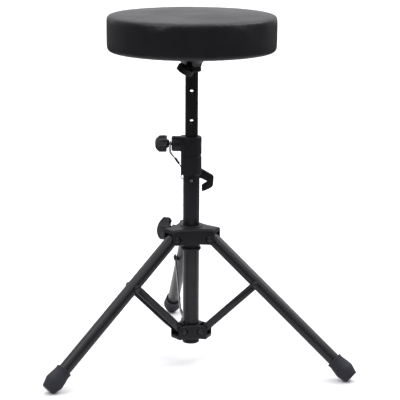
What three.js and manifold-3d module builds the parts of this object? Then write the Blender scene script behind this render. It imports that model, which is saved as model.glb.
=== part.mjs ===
// Drum throne: a round padded stool on a telescoping post, clamped in a folding
// three-legged stand. Millimetres, +Z up, floor at z = 0. Each leg group is built
// once in its own radial frame (X outward, Y along its pivots) and turned into place.
import * as THREE from 'three';
import { mergeVertices } from 'three/addons/utils/BufferGeometryUtils.js';
import Module from 'manifold-3d';

const wasm = await Module();
wasm.setup();

// ---- driving dimensions ----
const COLUMN_Y = -73;              // the column stands this far in front of the footprint's centre
const COLUMN_TURN = -7.7;          // degrees the drilled column is turned from the rear leg
const GAP = 0.3;                   // air left between touching pieces
const LEGS = [
  { name: 'rear', azimuth: 90 },
  { name: 'left', azimuth: 210 },
  { name: 'right', azimuth: 330 },
];

const SEAT = { radius: 145, bottom: 554, rimTop: 612, crown: 620.5, lowCorner: 8, topCorner: 6, cover: 1.5,
  fold: 122 };
const BOARD = { radius: 138, bottom: 556, thickness: 12 };
const LINING = { radius: 118, bottom: 554.2, thickness: 1.3 };
const SEAT_PLATE = { side: 120, corner: 14, bottom: 550.9, thickness: 3, hole: 18, boltCircle: 44 };
const BOLT_SPOTS = [45, 135, 225, 315];
const SEAT_SOCKET = { outer: 16.2, inner: 13.9, bottom: 519, throat: 528, flareRadius: 38, flareWall: 2.6,
  tubeTop: 548 };
const BOLT = { shank: 3, head: 6, headHeight: 3.4, top: 566 };

const POST = { outer: 11.1, inner: 9.6, bottom: 318, top: 546 };
const TUBE = { outer: 14.3, inner: 12.8, bottom: 40, top: 400 };
const PIN = { z: 330.2, pitch: 51.6, holes: 4, radius: 3.1, hole: 3.5 };
const COLLAR = { radius: 17.6, bottom: 339, top: 406, grooveLow: 370, grooveHigh: 375.6, grooveDepth: 0.7,
  blockReach: 18.3, blockHalf: 13 };
const SCREW = { radius: 3, hole: 3.4, embed: 12 };
const INSERT = { radius: 6, length: 8 };
// Wing screws: where the tip, insert and knob start from the column's axis,
// and the wing's half length and tilt.
const SEAT_SCREW = { tipR: 11.4, insertR: 14.5, neckR: 26, z: 526, azimuth: 246, half: 14, tilt: 60,
  bossRadius: 7.5 };
const HEIGHT_SCREW = { tipR: 11.4, insertR: 26.2, neckR: 38.5, z: 392.6, azimuth: 180, half: 20, tilt: 70,
  bossRadius: 13.4, bossEnd: 34.5 };
const HUB_SCREW = { tipR: 14.6, insertR: 27, neckR: 39, z: 236.5, azimuth: 150, half: 20, tilt: 38,
  bossRadius: 8.5 };

const LEG = { outer: 11.1, inner: 9.6, slope: 40.4, pivotR: 40, pivotZ: 228.4, behind: 8, length: 340.3,
  bracePivot: 111.7 };
const BOOT = { length: 43, end: 11.85, belly: 16.5, bellyAt: 18, mouth: 13.25, sole: 6 };
const BRACE = { footR: 24, footZ: 58.7, width: 12.6, thickness: 2, lowInner: 8, highInner: 12,
  joggleStart: 16, joggleEnd: 30 };
const RIVET = { radius: 3.1, hole: 3.4, head: 5.2, headHeight: 2 };

const HUB = { bottom: 219, top: 248.5, armHalf: 14.5, reach: 49, side: 30, slotHalf: 11.6, slotInner: 25.6,
  bore: 14.6, sleeve: 15.6, sleeveBottom: 209.8, edge: 3 };
const LOWER_HUB = { bottom: 45, top: 69, armHalf: 13.5, reach: 35, side: 22.5, slotHalf: 10.6,
  slotInner: 17.2, slotFloor: 51.6, edge: 2.5 };
// The roof over a leg's end in its slot, from the arm's tip inwards, about the leg's pivot.
const SLOT_ROOF = [[9.6, 10.6], [5, 13.4], [0, 14.3], [-7, 12.6], [-12, 8]];
const OVERCUT = 9;                 // how far a cutting tool runs past what it cuts
const STOP_RING = { bottom: 203.5, top: 209.5, radius: 17.3 };
const END_CAP = { bottom: 34.4, top: 44.6, radius: 15 };
const KNOB = { neck: 5.5, inner: 4.2, shoulder: 17.2, crest: 24.5, thickness: 11, bevel: 1.2 };

const FLOOR_CUT = 900;             // side of the block that trims the boots at the floor
const SIDES = 24;                  // facets round a tube
const SMALL_SIDES = 12;            // facets round a rivet, screw or neck
const SEAT_SIDES = 36;

const FINISH = {
  coat: { color: 0x2b2c30, roughness: 0.42, metalness: 0.35 },
  plastic: { color: 0x1d1d20, roughness: 0.5, metalness: 0 },
  rubber: { color: 0x26272b, roughness: 0.75, metalness: 0 },
  leather: { color: 0x2e2f33, roughness: 0.5, metalness: 0 },
  foam: { color: 0xd9cfa8, roughness: 0.95, metalness: 0 },
  wood: { color: 0xb48a5a, roughness: 0.8, metalness: 0 },
  fabric: { color: 0x17171a, roughness: 0.95, metalness: 0 },
  steel: { color: 0xb9bbbf, roughness: 0.3, metalness: 0.9 },
  brass: { color: 0xc7a252, roughness: 0.35, metalness: 0.9 },
};

const rad = THREE.MathUtils.degToRad;
const v2 = (x, y) => new THREE.Vector2(x, y);

// ---- solids ----
function toSolid(geometry) {
  const bare = geometry.clone();
  for (const name of Object.keys(bare.attributes)) if (name !== 'position') bare.deleteAttribute(name);
  const merged = mergeVertices(bare, 1e-4);
  const corners = merged.index.array;
  const triangles = [];
  for (let i = 0; i < corners.length; i += 3) {
    const [a, b, c] = corners.subarray(i, i + 3);
    if (a !== b && b !== c && c !== a) triangles.push(a, b, c);
  }
  const mesh = new wasm.Mesh({ numProp: 3, vertProperties: new Float32Array(merged.attributes.position.array),
    triVerts: new Uint32Array(triangles) });
  return new wasm.Manifold(mesh);
}

function toGeometry(solid) {
  const mesh = solid.getMesh();
  const geometry = new THREE.BufferGeometry();
  geometry.setAttribute('position', new THREE.BufferAttribute(new Float32Array(mesh.vertProperties), 3));
  geometry.setIndex(new THREE.BufferAttribute(new Uint32Array(mesh.triVerts), 1));
  geometry.computeVertexNormals();
  return geometry;
}

const join = (...shapes) => toGeometry(shapes.map(toSolid).reduce((sum, next) => sum.add(next)));
const cut = (shape, ...tools) => toGeometry(tools.map(toSolid).reduce((rest, tool) => rest.subtract(tool),
  toSolid(shape)));
const overlap = (first, second) => toGeometry(toSolid(first).intersect(toSolid(second)));

// A profile of [radius, height] pairs turned about +Z: outer wall upwards, inner wall downwards.
function lathe(profile, sides = SIDES) {
  return new THREE.LatheGeometry(profile.map(([r, z]) => v2(r, z)), sides).rotateX(Math.PI / 2);
}

function pipe(outer, inner, low, high, sides = SIDES) {
  return lathe([[inner, low], [outer, low], [outer, high], [inner, high], [inner, low]], sides);
}

function rod(radius, low, high, sides = SMALL_SIDES) {
  return lathe([[0, low], [radius, low], [radius, high], [0, high]], sides);
}

const alongX = (geometry) => geometry.rotateY(Math.PI / 2);   // +Z becomes +X
const alongY = (geometry) => geometry.rotateX(-Math.PI / 2);  // +Z becomes +Y
const crosswise = (radius, half, x, z) => alongY(rod(radius, -half, half)).translate(x, 0, z);

function slab(shape, thickness, bevel = 0) {
  const options = { depth: thickness - 2 * bevel, bevelEnabled: bevel > 0, bevelSize: bevel,
    bevelThickness: bevel, bevelOffset: -bevel, bevelSegments: 1, curveSegments: 5 };
  return new THREE.ExtrudeGeometry(shape, options).translate(0, 0, bevel);
}

// A slab whose outline lies in the X-Z plane, centred on Y = 0.
const upright = (shape, thickness, bevel = 0) =>
  slab(shape, thickness, bevel).rotateX(Math.PI / 2).translate(0, thickness / 2, 0);

function part(name, geometry, finish) {
  const mesh = new THREE.Mesh(geometry, new THREE.MeshStandardMaterial(FINISH[finish]));
  mesh.name = name;
  return mesh;
}

function turned(degrees, ...children) {
  const group = new THREE.Group();
  group.rotation.z = rad(degrees);
  group.add(...children);
  return group;
}

// Three arms with straight ends, joined by sides that curve inwards.
function spiderOutline({ armHalf, reach, side }) {
  const shape = new THREE.Shape();
  LEGS.forEach(({ azimuth }, index) => {
    const at = (x, y, angle) => v2(x, y).rotateAround(v2(0, 0), rad(angle));
    const start = at(reach, -armHalf, azimuth);
    const end = at(reach, armHalf, azimuth);
    const next = at(reach, -armHalf, azimuth + 120);
    const middle = at(side, 0, azimuth + 60);
    const control = middle.clone().multiplyScalar(2).sub(end.clone().add(next).multiplyScalar(0.5));
    if (index === 0) shape.moveTo(start.x, start.y);
    shape.lineTo(end.x, end.y);
    shape.quadraticCurveTo(control.x, control.y, next.x, next.y);
  });
  return shape;
}

function roundedSquare(side, corner) {
  const edge = side / 2;
  const shape = new THREE.Shape();
  for (let k = 0; k < 4; k += 1) {
    const centre = v2(edge - corner, edge - corner).rotateAround(v2(0, 0), k * Math.PI / 2);
    shape.absarc(centre.x, centre.y, corner, k * Math.PI / 2, (k + 1) * Math.PI / 2, false);
  }
  return shape;
}

function polygon(points) {
  return new THREE.Shape(points.map(([x, y]) => v2(x, y)));
}

// ---- wing screws: the axis is +X, the knob's neck starts at x = 0 ----
function wingOutline(half) {
  const { neck, inner, shoulder, crest } = KNOB;
  const shape = new THREE.Shape();
  shape.moveTo(0, -neck);
  shape.lineTo(inner, -neck - 1);
  shape.lineTo(inner, 1.5 - half);
  shape.lineTo(inner + 1.5, -half);
  shape.lineTo(shoulder, -half);
  shape.quadraticCurveTo(crest, -0.62 * half, crest, 0);
  shape.quadraticCurveTo(crest, 0.62 * half, shoulder, half);
  shape.lineTo(inner + 1.5, half);
  shape.lineTo(inner, half - 1.5);
  shape.lineTo(inner, neck + 1);
  shape.lineTo(0, neck);
  return shape;
}

// A wing knob on a screw whose tip is at radius tipR and whose knob starts at neckR.
function wingScrew(name, { tipR, neckR, z, azimuth, half, tilt }) {
  const bore = alongX(rod(SCREW.hole, -1, SCREW.embed + GAP));
  const wings = upright(wingOutline(half), KNOB.thickness, KNOB.bevel);
  const knob = part(`${name}_knob`, cut(wings, bore), 'plastic');
  knob.position.x = neckR;
  knob.rotation.x = rad(tilt);
  const screw = part(`${name}_screw`, alongX(rod(SCREW.radius, tipR, neckR + SCREW.embed)), 'steel');
  const group = turned(azimuth, knob, screw);
  group.position.z = z;
  return group;
}

function threadInsert(name, { insertR, z, azimuth }) {
  const ring = alongX(pipe(INSERT.radius - GAP, SCREW.hole, insertR, insertR + INSERT.length, SMALL_SIDES));
  const group = turned(azimuth, part(`${name}_insert`, ring, 'brass'));
  group.position.z = z;
  return group;
}

// The threaded boss of a wing screw, and the two holes cut in it, each lying along the screw.
const onScrew = (shape, { z, azimuth }) => alongX(shape).translate(0, 0, z).rotateZ(rad(azimuth));
const screwDrill = (screw) => onScrew(rod(SCREW.hole, 0, screw.neckR + 1), screw);
const insertEnd = (screw) => screw.insertR + INSERT.length;
const insertPocket = (screw) => onScrew(rod(INSERT.radius, screw.insertR - GAP, insertEnd(screw) + 1), screw);
const screwBoss = (screw, start) => onScrew(rod(screw.bossRadius, start, insertEnd(screw)), screw);

// ---- seat ----
// The cushion's outer skin from its lower corner over the crown, moved inwards by `inset`.
function cushionSkin(inset) {
  const { lowCorner, topCorner } = SEAT;
  const points = [];
  const arc = (r, z, radius, from, to, steps) => {
    for (let k = 0; k <= steps; k += 1) {
      const angle = rad(from + (to - from) * k / steps);
      points.push([r + (radius - inset) * Math.cos(angle), z + (radius - inset) * Math.sin(angle)]);
    }
  };
  arc(SEAT.radius - lowCorner, SEAT.bottom + lowCorner, lowCorner, -90, 0, 3);
  arc(SEAT.radius - topCorner, SEAT.rimTop - topCorner, topCorner, 0, 80, 3);
  for (const share of [0.7, 0]) {
    const rise = (SEAT.crown - SEAT.rimTop) * (1 - share ** 2);
    points.push([share * SEAT.radius, SEAT.rimTop + rise - inset]);
  }
  return points;
}

function seatParts() {
  const inner = cushionSkin(SEAT.cover).reverse();
  const hem = [[SEAT.fold, SEAT.bottom + SEAT.cover], [SEAT.fold, SEAT.bottom]];
  const cover = [...inner, ...hem, ...cushionSkin(0)];
  const boardTop = BOARD.bottom + BOARD.thickness;
  const foamTop = cushionSkin(SEAT.cover + GAP).filter(([, z]) => z > boardTop + 1);
  const foam = [[0, boardTop + GAP], [foamTop[0][0], boardTop + GAP], ...foamTop];
  const boltHoles = () => BOLT_SPOTS.map((angle) => {
    const at = v2(SEAT_PLATE.boltCircle, 0).rotateAround(v2(0, 0), rad(angle));
    return rod(BOLT.shank + GAP, SEAT_PLATE.bottom - 1, BOLT.top + GAP).translate(at.x, at.y, 0);
  });
  const board = cut(rod(BOARD.radius, BOARD.bottom, boardTop, SEAT_SIDES), ...boltHoles());
  const lining = cut(rod(LINING.radius, LINING.bottom, LINING.bottom + LINING.thickness, SEAT_SIDES),
    ...boltHoles());
  const headLow = SEAT_PLATE.bottom - GAP - BOLT.headHeight;
  const bolts = BOLT_SPOTS.map((angle, index) => {
    const shape = lathe([[0, headLow], [BOLT.head - 1, headLow], [BOLT.head, headLow + 1],
      [BOLT.head, SEAT_PLATE.bottom - GAP], [BOLT.shank, SEAT_PLATE.bottom - GAP], [BOLT.shank, BOLT.top],
      [0, BOLT.top]], SMALL_SIDES).translate(SEAT_PLATE.boltCircle, 0, 0);
    return turned(angle, part(`seat_bolt_${index + 1}`, shape, 'steel'));
  });
  return [part('seat_cover', lathe(cover, SEAT_SIDES), 'leather'),
    part('seat_foam', lathe(foam, SEAT_SIDES), 'foam'),
    part('seat_board', board, 'wood'), part('seat_lining', lining, 'fabric'),
    part('seat_bracket', seatBracket(boltHoles()), 'coat'), ...bolts];
}

// A pressed plate with a flared socket below it that grips the post.
function seatBracket(boltHoles) {
  const { outer, inner, bottom, throat, flareRadius, flareWall, tubeTop } = SEAT_SOCKET;
  const bore = POST.outer + GAP;
  const plateLow = SEAT_PLATE.bottom;
  const plate = slab(roundedSquare(SEAT_PLATE.side, SEAT_PLATE.corner), SEAT_PLATE.thickness)
    .translate(0, 0, plateLow);
  const flare = lathe([[bore, bottom], [outer, bottom], [outer, throat], [flareRadius, plateLow + 1],
    [flareRadius - flareWall, plateLow + 1], [inner, throat + 3], [inner, tubeTop],
    [bore, tubeTop], [bore, bottom]]);
  const boss = screwBoss(SEAT_SCREW, inner - 1);
  const core = rod(bore, bottom - 1, tubeTop + 1, SIDES);
  const plateHole = rod(SEAT_PLATE.hole, plateLow - 1, plateLow + 5, SIDES);
  const screwCuts = [screwDrill(SEAT_SCREW), insertPocket(SEAT_SCREW)];
  return cut(join(cut(plate, plateHole), flare, boss), core, ...screwCuts, ...boltHoles);
}

// ---- telescoping post and column ----
const acrossHole = (radius, z) => crosswise(radius, 2 * TUBE.outer, 0, z);

function postParts() {
  const holes = Array.from({ length: PIN.holes }, (_, k) => acrossHole(PIN.hole, PIN.z + k * PIN.pitch));
  const plug = lathe([[0, POST.bottom - 4], [12.4, POST.bottom - 4], [12.4, POST.bottom - GAP],
    [POST.inner - GAP, POST.bottom - GAP], [POST.inner - GAP, POST.bottom + 5], [0, POST.bottom + 5]]);
  return [part('inner_post', cut(pipe(POST.outer, POST.inner, POST.bottom, POST.top), ...holes), 'coat'),
    part('post_plug', plug, 'plastic')];
}

function collarShape() {
  const { radius, bottom, top, grooveLow, grooveHigh, grooveDepth, blockReach, blockHalf } = COLLAR;
  const groove = radius - grooveDepth;
  const body = lathe([[0, bottom], [radius, bottom], [radius, grooveLow], [groove, grooveLow],
    [groove, grooveHigh], [radius, grooveHigh], [radius, top - 2], [radius - 2, top], [0, top]]);
  const block = new THREE.BoxGeometry(blockReach, 2 * blockHalf, top - bottom)
    .translate(-blockReach / 2, 0, (top + bottom) / 2);
  const { bossRadius, bossEnd } = HEIGHT_SCREW;
  const boss = onScrew(lathe([[0, 0], [bossRadius, 0], [bossRadius, bossEnd - 2], [bossRadius - 2, bossEnd],
    [0, bossEnd]]), HEIGHT_SCREW);
  const tubeBore = rod(TUBE.outer + GAP, bottom - 1, TUBE.top + GAP, SIDES);
  const postBore = rod(POST.outer + GAP, bottom, top + 1, SIDES);
  const screwCuts = [screwDrill(HEIGHT_SCREW), insertPocket(HEIGHT_SCREW)];
  return cut(join(body, block, boss), tubeBore, postBore, ...screwCuts);
}

function columnParts() {
  const tube = cut(pipe(TUBE.outer, TUBE.inner, TUBE.bottom, TUBE.top), acrossHole(PIN.hole + 0.5, PIN.z),
    screwDrill(HEIGHT_SCREW));
  return [part('outer_tube', tube, 'coat'), part('height_collar', collarShape(), 'plastic')];
}

function fixedRings() {
  const { bottom, top, radius } = STOP_RING;
  const middle = (bottom + top) / 2;
  const inner = TUBE.outer + GAP;
  const ring = lathe([[inner, bottom], [radius - 1.2, bottom], [radius, middle - 0.8], [radius, middle + 0.8],
    [radius - 1.2, top], [inner, top], [inner, bottom]]);
  const plug = TUBE.inner - GAP;
  const rim = END_CAP.radius;
  const cap = lathe([[0, END_CAP.bottom], [rim - 4, END_CAP.bottom], [rim - 1, END_CAP.bottom + 2],
    [rim, TUBE.bottom - 1.5], [rim, TUBE.bottom - GAP], [plug, TUBE.bottom - GAP], [plug, TUBE.bottom + 12],
    [0, TUBE.bottom + 12]]);
  return [part('stop_ring', ring, 'rubber'), part('column_end_cap', cap, 'plastic')];
}

// ---- hubs ----
// Cross holes for a rivet through every arm, with flat seats for its two heads.
function rivetHoles(x, z, seat) {
  const depth = 20;
  return LEGS.flatMap(({ azimuth }) => [crosswise(RIVET.hole, seat + depth, x, z),
    crosswise(RIVET.head + 0.5, depth, x, z).translate(0, seat + depth, 0),
    crosswise(RIVET.head + 0.5, depth, x, z).translate(0, -seat - depth, 0)]
    .map((tool) => tool.rotateZ(rad(azimuth))));
}

function armSlot(profile, half, azimuth) {
  return upright(polygon(profile), 2 * half).rotateZ(rad(azimuth));
}

function upperHub() {
  const { bottom, top, reach, slotHalf, slotInner, bore, sleeve, sleeveBottom, edge } = HUB;
  const low = bottom - 1;
  const slot = [[slotInner, low], [reach + OVERCUT, low], [reach + OVERCUT, LEG.pivotZ + SLOT_ROOF[0][1]],
    ...SLOT_ROOF.map(([x, z]) => [LEG.pivotR + x, LEG.pivotZ + z]), [slotInner, LEG.pivotZ + 2]];
  const corner = [[reach - 7, low], [reach + OVERCUT, low], [reach + OVERCUT, bottom + 12]];
  const body = slab(spiderOutline(HUB), top - bottom, edge).translate(0, 0, bottom);
  const boss = screwBoss(HUB_SCREW, sleeve + 4);
  const slots = LEGS.map(({ azimuth }) => armSlot(slot, slotHalf, azimuth));
  const corners = LEGS.map(({ azimuth }) => armSlot(corner, HUB.armHalf + 2, azimuth));
  const rivets = rivetHoles(LEG.pivotR, LEG.pivotZ, HUB.armHalf);
  const collar = rod(sleeve, sleeveBottom, bottom + 4, SIDES);
  const columnBore = rod(bore, sleeveBottom - 1, top + 1, SIDES);
  return cut(join(body, collar, boss), columnBore, screwDrill(HUB_SCREW), insertPocket(HUB_SCREW), ...slots,
    ...corners, ...rivets);
}

function lowerHub() {
  const { bottom, top, slotHalf, slotInner, slotFloor, reach, edge } = LOWER_HUB;
  const far = reach + OVERCUT;
  const slot = [[slotInner, slotFloor], [far, slotFloor], [far, top + 1], [slotInner, top + 1]];
  const body = slab(spiderOutline(LOWER_HUB), top - bottom, edge).translate(0, 0, bottom);
  const slots = LEGS.map(({ azimuth }) => armSlot(slot, slotHalf, azimuth));
  const rivets = rivetHoles(BRACE.footR, BRACE.footZ, LOWER_HUB.armHalf);
  return cut(body, rod(TUBE.outer + GAP, bottom - 1, top + 1, SIDES), ...slots, ...rivets);
}

// A rivet with two domed heads, lying along Y through [x, z].
function rivet(half, x, z) {
  const { radius, head, headHeight } = RIVET;
  const face = half + GAP;
  const crown = half + headHeight;
  const profile = [[0, -crown], [head * 0.6, -crown], [head, -face], [radius, -face], [radius, face],
    [head, face], [head * 0.6, crown], [0, crown]];
  return alongY(lathe(profile, SMALL_SIDES)).translate(x, 0, z);
}

// ---- legs and braces ----
const legDirection = v2(Math.cos(rad(LEG.slope)), -Math.sin(rad(LEG.slope)));
const bracePivot = v2(LEG.pivotR, LEG.pivotZ).addScaledVector(legDirection, LEG.bracePivot);
const braceRun = bracePivot.clone().sub(v2(BRACE.footR, BRACE.footZ));

function legTube() {
  const tube = alongX(pipe(LEG.outer, LEG.inner, -LEG.behind, LEG.length - BOOT.sole));
  return cut(tube, crosswise(RIVET.hole, 20, 0, 0), crosswise(RIVET.hole, 20, LEG.bracePivot, 0));
}

// The rubber boot closes the leg's end; the floor trims a flat on its lower edge.
function boot(placement) {
  const { length, end, belly, bellyAt, mouth, sole } = BOOT;
  const tip = LEG.length;
  const inner = LEG.outer + GAP;
  const shape = alongX(lathe([[0, tip - sole + GAP], [inner, tip - sole + GAP], [inner, tip - length],
    [mouth, tip - length], [mouth + 0.8, tip - length + 4], [belly, tip - bellyAt], [end, tip], [0, tip]]));
  const below = new THREE.BoxGeometry(FLOOR_CUT, FLOOR_CUT, FLOOR_CUT).translate(0, 0, -FLOOR_CUT / 2);
  return cut(shape.applyMatrix4(placement), below);
}

function legGroup({ name, azimuth }) {
  const leg = new THREE.Group();
  leg.position.set(LEG.pivotR, 0, LEG.pivotZ);
  leg.rotation.y = rad(LEG.slope);
  const stub = alongY(rod(RIVET.radius, -LEG.outer - 0.6, LEG.outer + 0.6)).translate(LEG.bracePivot, 0, 0);
  leg.add(part(`leg_tube_${name}`, legTube(), 'coat'), part(`brace_pin_${name}`, stub, 'steel'));
  leg.updateMatrix();
  const hubRivet = part(`hub_rivet_${name}`, rivet(HUB.armHalf, LEG.pivotR, LEG.pivotZ), 'steel');
  return turned(azimuth, leg, hubRivet, part(`foot_boot_${name}`, boot(leg.matrix), 'rubber'));
}

// One flat bar of a brace, joggled from the narrow lower hub out past the leg; side is +1 or -1.
function braceBar(side) {
  const { width, thickness, lowInner, highInner, joggleStart, joggleEnd } = BRACE;
  const length = braceRun.length();
  const round = width / 2;
  const face = (x, inner) => [x, side * inner];
  const innerLine = [face(-round, lowInner), face(joggleStart, lowInner), face(joggleEnd, highInner),
    face(length + round, highInner)];
  const outerLine = innerLine.map(([x, y]) => [x, y + side * thickness]).reverse();
  const joggled = slab(polygon([...innerLine, ...outerLine]), width).translate(0, 0, -width / 2);
  const outline = new THREE.Shape();
  outline.absarc(0, 0, round, Math.PI / 2, 3 * Math.PI / 2, false);
  outline.absarc(length, 0, round, -Math.PI / 2, Math.PI / 2, false);
  const bar = overlap(joggled, upright(outline, 40));
  return cut(bar, crosswise(RIVET.hole, 20, 0, 0), crosswise(RIVET.hole, 20, length, 0));
}

// The half rivet that closes a bar against the leg.
function braceHead(side) {
  const low = BRACE.highInner + 0.2;
  const seat = BRACE.highInner + BRACE.thickness + GAP;
  const top = seat + RIVET.headHeight;
  const shape = lathe([[0, low], [RIVET.radius, low], [RIVET.radius, seat], [RIVET.head, seat],
    [RIVET.head * 0.6, top], [0, top]], SMALL_SIDES);
  const turn = side > 0 ? alongY(shape) : shape.rotateX(Math.PI / 2);
  return turn.translate(braceRun.length(), 0, 0);
}

function braceGroup({ name, azimuth }) {
  const brace = new THREE.Group();
  brace.position.set(BRACE.footR, 0, BRACE.footZ);
  brace.rotation.y = -braceRun.angle();
  for (const [letter, side] of [['a', 1], ['b', -1]]) {
    brace.add(part(`brace_bar_${name}_${letter}`, braceBar(side), 'coat'),
      part(`brace_head_${name}_${letter}`, braceHead(side), 'steel'));
  }
  const pivot = rivet(LOWER_HUB.armHalf, BRACE.footR, BRACE.footZ);
  const footRivet = part(`lower_rivet_${name}`, pivot, 'steel');
  return turned(azimuth, brace, footRivet);
}

// ---- lock pin: its axis is Y through the column at PIN.z, the handle is behind ----
// The handle is a hook: out to the right, down, and back towards the column.
function lockPinParts() {
  const shankStart = POST.outer + GAP;
  const handleFront = 29;
  const handleDepth = 9;
  const handle = new THREE.Shape();
  handle.moveTo(-7, -6);
  handle.quadraticCurveTo(-8.5, 0, -7, 6);
  handle.quadraticCurveTo(-3, 11, 6, 11.5);
  handle.lineTo(17.9, 11.5);
  handle.lineTo(36.2, 1);
  handle.quadraticCurveTo(39.3, -1, 39.2, -4.5);
  handle.lineTo(38.2, -17);
  handle.quadraticCurveTo(37.6, -20.5, 34, -22.5);
  handle.quadraticCurveTo(26, -27, 18.3, -29.3);
  handle.lineTo(18, -17.5);
  handle.lineTo(28.4, -10.8);
  handle.lineTo(16.5, -5.2);
  handle.closePath();
  const bore = alongY(rod(PIN.radius + GAP, handleFront - 1, handleFront + handleDepth - 2));
  const grip = cut(upright(handle, handleDepth, 1.5).translate(0, handleFront + handleDepth / 2, 0), bore);
  const shank = alongY(rod(PIN.radius, shankStart, handleFront + handleDepth - 2.5)).translate(0, 0, PIN.z);
  const noseProfile = [[0, shankStart], [PIN.radius, shankStart], [PIN.radius, 18], [1.6, 19.8], [0, 20]];
  const nose = lathe(noseProfile, SMALL_SIDES).rotateX(Math.PI / 2).translate(0, 0, PIN.z);
  return [part('lock_pin_shank', shank, 'steel'), part('lock_pin_nose', nose, 'steel'),
    part('lock_pin_handle', grip.translate(0, 0, PIN.z), 'plastic')];
}

// ---- tether: a thin cord from the height screw to the lock pin ----
const TETHER_RADIUS = 0.9;
const TETHER_ROUTE = [
  [-36.6, 0, 388.6], [-36.6, 1.2, 383], [-35.6, 3.4, 376.5], [-31.5, 5.6, 369.5], [-26.6, 7.4, 362.8],
  [-22.4, 10.4, 356], [-18.6, 15, 349], [-17.2, 18.5, 342], [-17.6, 19.5, 335], [-18.4, 20, 329.5],
  [-16.5, 20.8, 326.2], [-12.5, 21.6, 325.6], [-8, 22, 326.6], [-4.6, 22.2, 328],
];

function tetherPart() {
  const curve = new THREE.CatmullRomCurve3(TETHER_ROUTE.map((point) => new THREE.Vector3(...point)));
  const section = new THREE.Shape();
  section.absarc(0, 0, TETHER_RADIUS, 0, 2 * Math.PI, false);
  const cord = new THREE.ExtrudeGeometry(section, { steps: 26, extrudePath: curve, curveSegments: 4 });
  return part('tether_cord', cord, 'plastic');
}

// ---- assembly ----
const throne = new THREE.Group();
throne.position.y = COLUMN_Y;
throne.add(...seatParts(), ...fixedRings(), ...LEGS.map(legGroup), ...LEGS.map(braceGroup),
  part('leg_hub', upperHub(), 'plastic'), part('lower_hub', lowerHub(), 'plastic'),
  wingScrew('seat', SEAT_SCREW), threadInsert('seat', SEAT_SCREW),
  wingScrew('hub', HUB_SCREW), threadInsert('hub', HUB_SCREW),
  turned(COLUMN_TURN, ...postParts(), ...columnParts(), ...lockPinParts(), tetherPart(),
    wingScrew('height', HEIGHT_SCREW), threadInsert('height', HEIGHT_SCREW)));

export default throne;
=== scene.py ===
"""Drum throne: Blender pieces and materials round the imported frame. Lengths are in millimetres
in the shape code and become metres in piece()."""
import math

import bmesh
import bpy
from mathutils import Matrix, Vector


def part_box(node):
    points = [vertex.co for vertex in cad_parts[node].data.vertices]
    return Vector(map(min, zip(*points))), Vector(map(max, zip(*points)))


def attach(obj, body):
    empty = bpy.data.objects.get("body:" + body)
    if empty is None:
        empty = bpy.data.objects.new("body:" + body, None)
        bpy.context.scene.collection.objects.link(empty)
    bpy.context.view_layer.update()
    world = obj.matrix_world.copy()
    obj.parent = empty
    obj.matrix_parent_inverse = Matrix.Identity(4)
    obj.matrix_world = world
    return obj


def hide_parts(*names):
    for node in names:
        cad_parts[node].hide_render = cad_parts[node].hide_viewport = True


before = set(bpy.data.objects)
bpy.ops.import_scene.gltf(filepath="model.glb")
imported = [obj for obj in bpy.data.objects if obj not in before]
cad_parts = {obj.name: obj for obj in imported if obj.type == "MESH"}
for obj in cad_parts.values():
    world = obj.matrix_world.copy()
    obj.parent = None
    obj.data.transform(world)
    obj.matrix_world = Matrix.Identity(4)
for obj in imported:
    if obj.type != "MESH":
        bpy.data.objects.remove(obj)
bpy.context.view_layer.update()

MM = 0.001
GAP = 0.3
FINE = 72                      # facets round a tube
SMALL = 36                     # facets round a screw or rivet
COLUMN_TURN = -7.7             # degrees, as the drilled column is turned from the rear leg
LEGS = {"rear": 90.0, "left": 210.0, "right": 330.0}


def box_mm(node):
    low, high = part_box(node)
    return low / MM, high / MM


tube_low, tube_high = box_mm("outer_tube")
COLUMN = Vector(((tube_low.x + tube_high.x) / 2, (tube_low.y + tube_high.y) / 2, 0))
TUBE_R, TUBE_IN = 14.3, 12.8
POST_R, POST_IN = 11.1, 9.6
LEG_R, LEG_IN = 11.1, 9.6
LEG_SLOPE, LEG_PIVOT_R, LEG_PIVOT_Z = 40.4, 40.0, 228.4
LEG_BEHIND, LEG_LENGTH, BRACE_PIVOT = 8.0, 340.3, 111.7
BRACE_FOOT_R, BRACE_FOOT_Z = 24.0, 58.7
TUBE_LOW, TUBE_TOP = 40.0, 400.0
POST_LOW, POST_TOP = 318.0, 546.0
PIN_Z, PIN_PITCH, PIN_R, PIN_HOLE, PIN_HOLES = 330.2, 51.6, 3.1, 3.5, 4
SCREW_R = 3.0
RIVET_HOLE, RIVET_HEAD_SEAT = 3.4, 5.7
HUB = dict(arm_half=14.5, reach=49.0, side=30.0)
LOWER_HUB = dict(arm_half=13.5, reach=35.0, side=22.5)


# ---- camera ----
def make_camera():
    """A long lens, looking 12.8 degrees down from the left of front."""
    heading, pitch, roll = math.radians(7.68), math.radians(12.78), math.radians(0.31)
    level = math.cos(pitch)
    ahead = Vector((math.sin(heading) * level, math.cos(heading) * level, -math.sin(pitch)))
    right = Vector((math.cos(heading), -math.sin(heading), 0))
    up = right.cross(ahead)
    right, up = right * math.cos(roll) + up * math.sin(roll), up * math.cos(roll) - right * math.sin(roll)
    data = bpy.data.cameras.new("camera")
    data.sensor_width, data.lens = 36.0, 135.4
    data.clip_end = 50
    camera = bpy.data.objects.new("camera", data)
    place = Vector((-327.4, -2542.1, 873.9)) + COLUMN
    camera.matrix_world = Matrix.Translation(place * MM) @ Matrix((right, up, -ahead)).transposed().to_4x4()
    bpy.context.collection.objects.link(camera)
    bpy.context.scene.camera = camera


make_camera()


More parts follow.
